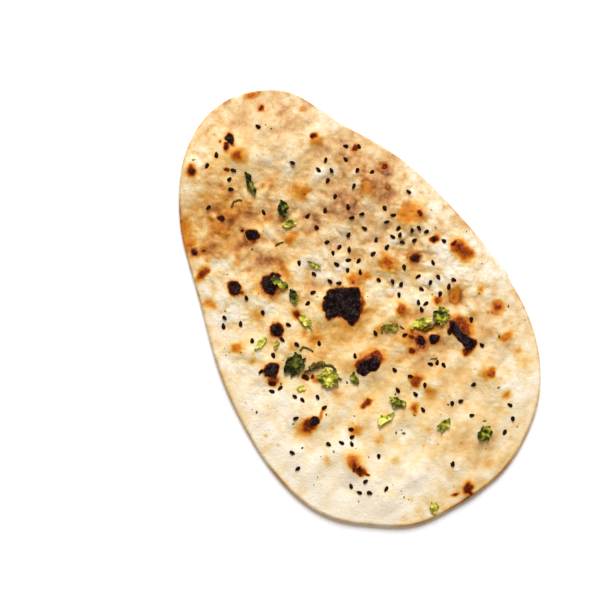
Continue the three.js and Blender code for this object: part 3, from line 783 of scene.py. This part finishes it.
def underside_heat(x, y):
    """Browned dots where the underside touched the hot wall, scattered by a seeded rule."""
    rng = np.random.default_rng(UNDERSIDE_SEED)
    dots = np.zeros_like(x)
    for _ in range(UNDERSIDE_SPOTS):
        px, py = rng.uniform(-70, 70), rng.uniform(-110, 110)
        reach = UNDERSIDE_REACH[0] + UNDERSIDE_REACH[1] * rng.uniform() ** 2
        peak = UNDERSIDE_HEAT[0] + UNDERSIDE_HEAT[1] * rng.uniform()
        dots = np.maximum(dots, peak * np.exp(-((np.hypot(x - px, y - py) / reach) ** 3)))
    return dots


def connect(tree, node, inputs):
    """Links each input that is given as a socket and sets any other."""
    for key, value in inputs.items():
        if isinstance(value, bpy.types.NodeSocket):
            tree.links.new(value, node.inputs[key])
        else:
            node.inputs[key].default_value = value


def add_node(tree, kind, inputs=None, **settings):
    """Adds a node to a tree, which the id_data of any socket in it gives."""
    made = tree.nodes.new(kind)
    for key, value in settings.items():
        setattr(made, key, value)
    connect(tree, made, inputs or {})
    return made


def calculate(operation, *values, clamp=False):
    inputs = dict(enumerate(values))
    tree = values[0].id_data
    made = add_node(tree, "ShaderNodeMath", inputs, operation=operation, use_clamp=clamp)
    return made.outputs["Value"]


def spread(value, width):
    """A value from 0 to 1 turned into one from minus half the width to plus half of it."""
    return calculate("MULTIPLY_ADD", value, width, -width / 2)


def attribute(tree, name):
    return add_node(tree, "ShaderNodeAttribute", attribute_name=name).outputs["Fac"]


def position_in_mm(tree):
    place = add_node(tree, "ShaderNodeTexCoord").outputs["Object"]
    scaled = add_node(tree, "ShaderNodeVectorMath", {0: place, "Scale": 1 / MM}, operation="SCALE")
    return scaled.outputs["Vector"]


def noise(place, width, detail=3.0, roughness=0.55):
    """Noise from 0 to 1 whose blotches are about as many millimetres wide as asked."""
    inputs = {"Vector": place, "Scale": 1 / width, "Detail": detail, "Roughness": roughness}
    return add_node(place.id_data, "ShaderNodeTexNoise", inputs).outputs["Fac"]


def rescale(value, low, high, to_low=0.0, to_high=1.0):
    inputs = {"From Min": low, "From Max": high, "To Min": to_low, "To Max": to_high}
    inputs["Value"] = value
    made = add_node(value.id_data, "ShaderNodeMapRange", inputs, interpolation_type="SMOOTHSTEP")
    return made.outputs["Result"]


def ramp(value, stops):
    made = add_node(value.id_data, "ShaderNodeValToRGB", {"Fac": value})
    elements = made.color_ramp.elements
    while len(elements) < len(stops):
        elements.new(1.0)
    for element, (position, colour) in zip(elements, stops):
        element.position = position
        element.color = in_daylight(colour)
    return made.outputs["Color"]


def blend(share, first, second):
    inputs = {"Factor": share, "A": first, "B": second}
    return add_node(share.id_data, "ShaderNodeMix", inputs, data_type="RGBA").outputs[2]


def new_material(name):
    material = bpy.data.materials.new(name)
    material.use_nodes = True
    return material, material.node_tree


def bumps(height, strength, depth):
    """Bumps on a surface, their depth in millimetres."""
    inputs = {"Height": height, "Strength": strength, "Distance": depth * MM}
    return {"Normal": add_node(height.id_data, "ShaderNodeBump", inputs).outputs["Normal"]}


def set_surface(tree, colour, roughness, specular=0.5, others=None):
    inputs = {"Base Color": colour, "Roughness": roughness, "Specular IOR Level": specular}
    connect(tree, tree.nodes["Principled BSDF"], {**inputs, **(others or {})})


def painted_char_glints(place):
    """Thin pale lines, all one way, where flakes of char catch the light."""
    inputs = {"Vector": place, "Rotation": (0, 0, 0.8), "Scale": (1, 2.4, 1)}
    turned = add_node(place.id_data, "ShaderNodeMapping", inputs)
    wavy = noise(turned.outputs["Vector"], 1.9, 4.0, 0.65)
    off_middle = calculate("ABSOLUTE", calculate("SUBTRACT", wavy, 0.5))
    patches = rescale(noise(place, 3.5), 0.4, 0.6)
    return calculate("MULTIPLY", rescale(off_middle, 0.0, 0.03, 1.0, 0.0), patches)


def dough_colour(tree, place, heat_here):
    """The crust between its spots: tan or golden, browned by its tone, which holds painted shade
    and painted light too, blotched and speckled.
    """
    mottling = attribute(tree, "mottling")
    blotches = spread(noise(place, 1.8, 4.0, 0.6), 0.4)
    blotches = calculate("MULTIPLY", blotches, mottling)
    grain = spread(noise(place, 0.7, 3.0, 0.6), 0.08)
    uneven = calculate("ADD", blotches, grain)
    browned = calculate("MULTIPLY_ADD", heat_here, HEAT_BROWNS, attribute(tree, "tone"))
    shade = calculate("ADD", browned, uneven, clamp=True)
    own_gold = attribute(tree, "gold")
    gilt = calculate("MULTIPLY_ADD", heat_here, HEAT_GILDS, own_gold, clamp=True)
    plain = blend(gilt, ramp(shade, TAN_COLOURS), ramp(shade, GOLD_COLOURS))
    grains = noise(place, 0.55, 4.0, 0.7)
    brightness = rescale(grains, 0.34, 0.6, SPECKLE_DARKEST, 1.0)
    inputs = {0: plain, "Scale": brightness}
    speckled = add_node(tree, "ShaderNodeVectorMath", inputs, operation="SCALE")
    return blend(mottling, plain, speckled.outputs["Vector"])


def ragged_heat(place, heat_here, scorching):
    """Heat with crumbly edges, which are most ragged where it is hottest."""
    crumbs = spread(noise(place, 1.3, 5.0, 0.72), 0.8)
    raggedness = rescale(heat_here, 0.2, 0.8, 0.12, 1.0)
    raggedness = calculate("MULTIPLY_ADD", scorching, 0.5, raggedness)
    raggedness = calculate("MULTIPLY", raggedness, rescale(heat_here, 0, 0.3))
    ragged = calculate("MULTIPLY", crumbs, raggedness)
    return calculate("ADD", heat_here, ragged, clamp=True)


def crust_colour(tree, place, heat_here):
    """The dough's colour, turned to char in the spots, with painted glints on the blackest char."""
    scorching = attribute(tree, "scorching")
    burnt = ragged_heat(place, heat_here, scorching)
    orange, brown = ramp(burnt, CHAR_COLOURS), ramp(burnt, SCORCH_COLOURS)
    charred = blend(scorching, orange, brown)
    dough = dough_colour(tree, place, heat_here)
    coloured = blend(rescale(burnt, 0.2, 0.46), dough, charred)
    blackest = rescale(heat_here, 0.84, 0.98)
    # Painted highlights: pale glints on the blackest char
    painted_glints = calculate("MULTIPLY", blackest, painted_char_glints(place))
    return blend(painted_glints, coloured, in_daylight(CHAR_GLINT))


def bread_material():
    """Crust coloured by the tone, gold, mottling, toasting and scorching attributes."""
    material, tree = new_material("baked_crust")
    place = position_in_mm(tree)
    heat_here = attribute(tree, "toasting")
    dulled = rescale(heat_here, 0.3, 0.9, 0.6, 0.7)
    sheen = rescale(heat_here, 0.3, 0.8, 0.2, 0.06)
    glow = {
        "Subsurface Weight": 0.1,
        "Subsurface Radius": (1.0, 0.5, 0.25),
        "Subsurface Scale": 1.5 * MM,
    }
    fine = noise(place, 1.4, 5.0, 0.62)
    cracks = noise(place, 0.9, 5.0, 0.8)
    crackle = calculate("MULTIPLY", cracks, rescale(heat_here, 0.7, 0.95))
    relief = bumps(calculate("MULTIPLY_ADD", crackle, 2.0, fine), 0.9, 0.45)
    colour = crust_colour(tree, place, heat_here)
    set_surface(tree, colour, dulled, sheen, {**glow, **relief})
    return material


def seed_material():
    """Near black, wrinkled skin with brown dust on it."""
    material, tree = new_material("nigella_skin")
    place = position_in_mm(tree)
    dust = rescale(noise(place, 0.6, 3.0), 0.52, 0.75)
    colour = blend(dust, in_daylight(SEED_COLOUR), in_daylight(SEED_DUST))
    set_surface(tree, colour, 0.65, 0.04, bumps(noise(place, 0.35, 4.0), 0.6, 0.1))
    return material


def leaf_material():
    """Green by the paleness attribute, which also holds painted light on the folds' crests and
    painted shade in their hollows, turned brown by the wilt attribute.
    """
    material, tree = new_material("coriander_leaf")
    place = position_in_mm(tree)
    varied = spread(noise(place, 0.9, 4.0, 0.7), 0.55)
    shade = calculate("ADD", attribute(tree, "paleness"), varied, clamp=True)
    green = ramp(shade, LEAF_COLOURS)
    wilted = calculate("ADD", attribute(tree, "wilt"), varied, clamp=True)
    colour = blend(rescale(wilted, 0.2, 0.8), green, in_daylight(WILT_COLOUR))
    set_surface(tree, colour, 0.5, 0.15, bumps(noise(place, 0.6, 4.0), 0.7, 0.15))
    return material


def crumb_material():
    material, tree = new_material("charred_crumb")
    burnt = noise(position_in_mm(tree), 2.5, 3.0)
    black, brown = CHAR_COLOURS[-1][1], CHAR_COLOURS[-3][1]
    colour = blend(burnt, in_daylight(black), in_daylight(brown))
    set_surface(tree, colour, 0.7)
    return material


def floor_material():
    material, tree = new_material("pale_floor")
    tint = noise(position_in_mm(tree), 60, 2.0)
    colour = blend(tint, linear(FLOOR_COLOUR), linear([c - 2 for c in FLOOR_COLOUR]))
    set_surface(tree, colour, 0.8)
    return material


def add_bread():
    points, faces, underneath = bread_surface()
    x, y = points[:, 0], points[:, 1]
    hot = np.where(underneath, underside_heat(x, y), heat(x, y))
    attributes = {
        "tone": tone(x, y),
        "gold": gold(x, y),
        "toasting": hot,
        "scorching": scorching(x, y),
        "mottling": lumpiness(x, y),
    }
    bread = build_mesh("naan_crust", points, faces, bread_material(), attributes)
    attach(bread, "root")
    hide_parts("bread")


def seeded_draws():
    """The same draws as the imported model's source makes, each worked out from the last."""
    drawn = DRAW_START
    while True:
        drawn = drawn * DRAW_FACTOR % DRAW_MODULUS
        yield drawn / DRAW_MODULUS


def on_blister(x, y):
    return any(reaches_away(blister, x, y) < SEED_OFF_BLISTER for blister in BLISTERS)


def under_leaf(x, y):
    clear = SEED_LENGTH / 2 + SEED_OFF_LEAF
    return any(
        reaches_away((lx, ly, length / 2 + clear, width / 2 + clear, turn), x, y) < 1
        for lx, ly, length, width, turn, *_ in LEAVES
    )


def scatter_seeds():
    """Places and turns of the seeds, each clear of the others, the leaves and the rim."""
    draws = seeded_draws()
    seeds = []
    for x, y, along_x, along_y, count in PINCHES:
        placed = 0
        while placed < count:
            angle = 2 * pi * next(draws)
            reach = PINCH_SPREAD * sqrt(next(draws))
            sx = x + along_x * reach * cos(angle)
            sy = y + along_y * reach * sin(angle)
            turn = pi * next(draws)
            crowded = any(hypot(s[0] - sx, s[1] - sy) < SEED_GAP for s in seeds)
            taken = crowded or on_blister(sx, sy) or under_leaf(sx, sy)
            if taken or rim_share(sx, sy) > SEED_RIM_SHARE:
                continue
            seeds.append((sx, sy, turn))
            placed += 1
    return seeds


def seed_shape(length, width, height, sides=12, steps=9):
    """A tear-shaped seed with three soft ridges, along x."""
    rings = [np.array([[-length / 2, 0, 0]])]
    around = 2 * np.pi * np.arange(sides) / sides
    for k in range(1, steps):
        lean = pi * k / steps
        x = -length / 2 * cos(lean)
        ridges = 1 + SEED_RIDGES * np.cos(3 * around)
        girth = sin(lean) * (1 - SEED_TAPER * 2 * x / length) * ridges
        y, z = width / 2 * girth * np.cos(around), -height / 2 * girth * np.sin(around)
        rings.append(np.column_stack([np.full(sides, x), y, z]))
    rings.append(np.array([[length / 2, 0, 0]]))
    return closed_surface(rings)


class Joined:
    """Many small closed shapes gathered into one mesh, with their attributes."""

    def __init__(self, *attributes):
        self.points, self.faces = [], []
        self.attributes = {name: [] for name in attributes}

    def add(self, points, faces, **values):
        self.faces += [tuple(i + len(self.points) for i in face) for face in faces]
        self.points += np.asarray(points).tolist()
        for name, value in values.items():
            self.attributes[name] += np.broadcast_to(value, len(points)).tolist()

    def build(self, name, material):
        return build_mesh(name, self.points, self.faces, material, self.attributes)


def add_seeds():
    rng = np.random.default_rng(3)
    seeds = Joined()
    places = scatter_seeds()
    heights = crust_height(*np.array(places)[:, :2].T)
    for i, ((x, y, turn), height) in enumerate(zip(places, heights)):
        length = SEED_LENGTH * rng.uniform(0.9, 1.08)
        width = SEED_WIDTH * rng.uniform(0.9, 1.1)
        shape, faces = seed_shape(length, width, SEED_HEIGHT)
        tilt, facing = rng.uniform(-0.15, 0.15), turn + pi * (i % 2)
        shape = shape @ turned_by("y", tilt).T @ turned_by("z", facing).T
        seeds.add(shape + [x, y, height + SEED_STANDS], faces)
    piece = seeds.build("nigella_seeds", seed_material())
    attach(piece, "root")


def turned_by(axis, angle):
    """The rotation matrix about y or z."""
    c, s = cos(angle), sin(angle)
    if axis == "z":
        return np.array([[c, -s, 0], [s, c, 0], [0, 0, 1]])
    return np.array([[c, 0, s], [0, 1, 0], [-s, 0, c]])


def leaf_points(leaf, share, angle, side, seed):
    """Points of a leaf scrap: an uneven frilled outline, crumpled, and folded up at its sides.

    Also gives how high each point is on its fold, from -1 to 1."""
    x, y, length, width, turn, lobes, curl = leaf
    phase = GOLDEN_ANGLE * (seed + 1)
    waves = [(lobes - 1, 1), (lobes + 2, 0.7), (2 * lobes + 5, 0.3)]
    lobing = sum(
        depth * np.cos(count * angle + (k + 1) * phase) for k, (count, depth) in enumerate(waves)
    )
    reach = share * (1 - LOBE_DEPTH * share * (0.25 - lobing / 2.2))
    along, across = length / 2 * reach * np.cos(angle), width / 2 * reach * np.sin(angle)
    c, s = cos(radians(turn)), sin(radians(turn))
    px, py = x + along * c - across * s, y + along * s + across * c
    shift = CRUMPLE_SHIFT * share * drift(px, py, CRUMPLE_WIDTH, (95, 96))
    px, py = np.array([px, py]) + shift
    crumple = value_noise(px, py, CRUMPLE_WIDTH, 97)
    crumple = crumple + 0.6 * value_noise(px, py, CRUMPLE_WIDTH / 2, 98)
    fold = np.clip(crumple + 0.3 * share**6 * np.sin((2 * lobes + 5) * angle + phase), -1, 1)
    # It curls up more towards its edge
    rise = (0.35 + 0.75 * curl) * (0.45 + 0.55 * share) * (1 + fold)
    height = crust_height(px, py) + LEAF_GAP + LEAF_THICKNESS / 2 + rise + side * LEAF_THICKNESS / 2
    return np.column_stack([px, py, height]), fold


def leaf_surface(leaf, seed):
    """Points, triangles and folds of a leaf scrap."""
    shares = np.arange(LEAF_STEPS + 1) / LEAF_STEPS
    shares = np.concatenate([shares, shares[::-1]])
    counts = np.maximum(1, np.round(8 * LEAF_STEPS * shares).astype(int))
    angle = np.concatenate([2 * np.pi * np.arange(n) / n for n in counts])
    side = np.repeat(np.where(np.arange(len(shares)) <= LEAF_STEPS, 1, -1), counts)
    points, folds = leaf_points(leaf, np.repeat(shares, counts), angle, side, seed)
    return *closed_surface(np.split(points, np.cumsum(counts)[:-1])), folds


def painted_fold_light(paleness, folds):
    """Crests of a leaf catch the light and its hollows stay dark."""
    return np.clip(paleness + LEAF_PAINTED_FOLD_LIGHT * folds, 0, 1)


def add_leaves():
    material = leaf_material()
    for i, (*leaf, paleness, wilt) in enumerate(LEAVES):
        points, faces, folds = leaf_surface(leaf, i)
        attributes = {"paleness": painted_fold_light(paleness, folds), "wilt": np.full(len(points), wilt)}
        piece = build_mesh(f"leaf_{i + 1:02d}", points, faces, material, attributes)
        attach(piece, "root")
        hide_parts(f"coriander_{i + 1:02d}")
    return material


def add_green_bits(material):
    bits = Joined("paleness", "wilt")
    for i, (*leaf, paleness, wilt) in enumerate(GREEN_BITS):
        points, faces, folds = leaf_surface(leaf, 50 + i)
        shade = painted_fold_light(paleness, folds)
        bits.add(points - [0, 0, LEAF_GAP], faces, paleness=shade, wilt=wilt)
    piece = bits.build("green_bits", material)
    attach(piece, "root")


def stem_shape(radius, route, seed):
    """A wilted, frilled strip that lies along a route on the crust.

    Also gives how high each point is on its frills, from -1 to 1."""
    corners = np.array(route, dtype=float)
    run = np.concatenate([[0], np.cumsum(np.hypot(*np.diff(corners, axis=0).T))])
    steps = max(6, int(run[-1] / STEM_STEP))
    at = np.linspace(0, run[-1], steps + 1)
    line = np.stack([np.interp(at, run, corners[:, axis]) for axis in (0, 1)], axis=1)
    for _ in range(4):
        line[1:-1] = (line[:-2] + 2 * line[1:-1] + line[2:]) / 4
    heading = np.gradient(line, axis=0)
    sideways = np.column_stack([heading[:, 1], -heading[:, 0]]) / np.hypot(*heading.T)[:, None]
    height = crust_height(*line.T) + STEM_FLATNESS * radius
    around = 2 * np.pi * np.arange(STEM_SIDES) / STEM_SIDES
    rings, frills = [], []
    for k in range(steps + 1):
        if k in (0, steps):
            rings.append(np.array([[*line[k], height[k]]]))
            frills.append([0.0])
            continue
        frill = value_noise(at[k] + 0 * around, 3 * np.cos(around) + seed, FRILL_WIDTH, 61)
        girth = radius * (1 + STEM_FRILL * frill)
        flat = line[k] + sideways[k] * (girth * np.cos(around))[:, None]
        rise = STEM_FLATNESS * girth * np.sin(around)
        rings.append(np.column_stack([flat, height[k] + rise]))
        frills.append(frill)
    points, faces = closed_surface(rings)
    return points, faces, np.concatenate(frills)


def add_stems(material):
    stems = Joined("paleness", "wilt")
    for i, (radius, route) in enumerate(STEMS):
        points, faces, frills = stem_shape(radius, route, 5 * i)
        # The stems' frills get painted light on their crests and painted shade in their hollows
        stems.add(points, faces, paleness=painted_fold_light(0.22, frills), wilt=0.5)
    piece = stems.build("wilted_stems", material)
    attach(piece, "root")


def add_flecks(name, material, count, seed, lengths, **attributes):
    """Tiny flat grains, strewn over the crust."""
    flecks = Joined(*attributes)
    places = np.array(strewn(count, seed))
    x, y, *_ = places.T
    places = np.column_stack([places, crust_height(x, y)])[heat(x, y) < FLECKS_OFF_HEAT]
    for x, y, size, turn, height in places:
        length = lengths[0] + (lengths[1] - lengths[0]) * size**2
        shape, faces = seed_shape(length, FLECK_WIDTH * length, FLECK_HEIGHT, sides=6, steps=4)
        shape = shape @ turned_by("z", 2 * pi * turn).T
        values = {key: low + (high - low) * turn for key, (low, high) in attributes.items()}
        flecks.add(shape + [x, y, height + 0.1], faces, **values)
    piece = flecks.build(name, material)
    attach(piece, "root")


def add_floor():
    corners = FLOOR_HALF_SIDE * np.array([(-1, -1, 0), (1, -1, 0), (1, 1, 0), (-1, 1, 0)]) / MM
    floor = build_mesh("floor", corners, [(0, 1, 2, 3)], floor_material(), {})


def add_camera():
    """Straight above the middle of the photograph's frame."""
    right = (PHOTO_PIXELS / 2 - ORIGIN_PIXEL[0]) * MM_PER_PIXEL * MM
    up = (ORIGIN_PIXEL[1] - PHOTO_PIXELS / 2) * MM_PER_PIXEL * MM
    turn = radians(CAMERA_TURN)
    camera = bpy.data.cameras.new("camera")
    camera.sensor_width = SENSOR
    camera.lens = SENSOR * CAMERA_HEIGHT / (PHOTO_PIXELS * MM_PER_PIXEL * MM)
    made = bpy.data.objects.new("camera", camera)
    made.location = (*along_across(right, up, -turn), CAMERA_HEIGHT)
    made.rotation_euler = (0, 0, turn)
    bpy.context.scene.collection.objects.link(made)
    bpy.context.scene.camera = made


def add_window():
    """A square soft light that faces the bread."""
    light = bpy.data.lights.new("window", "AREA")
    light.size = 1.2
    light.energy = 79
    light.color = (0.98, 1, 1.07)
    made = bpy.data.objects.new("window", light)
    heading, lean = radians(WINDOW_HEADING), radians(WINDOW_ELEVATION)
    level, height = WINDOW_DISTANCE * cos(lean), WINDOW_DISTANCE * sin(lean)
    made.location = (level * cos(heading), level * sin(heading), height)
    made.rotation_euler = (pi / 2 - lean, 0, heading + pi / 2)
    bpy.context.scene.collection.objects.link(made)


def add_room_light():
    world = bpy.data.worlds.new("soft_room")
    world.use_nodes = True
    background = world.node_tree.nodes["Background"]
    background.inputs["Strength"].default_value = 0.4
    background.inputs["Color"].default_value = (1, 0.85, 0.66, 1)
    bpy.context.scene.world = world


bpy.context.scene.view_settings.view_transform = "Standard"
add_camera()
add_room_light()
add_window()
add_floor()
add_bread()
add_seeds()
herb = add_leaves()
add_green_bits(herb)
add_stems(herb)
add_flecks("herb_flecks", herb, **HERB_FLECKS, paleness=(0.1, 0.8), wilt=(0.0, 0.5))
add_flecks("char_crumbs", crumb_material(), **CHAR_CRUMBS)
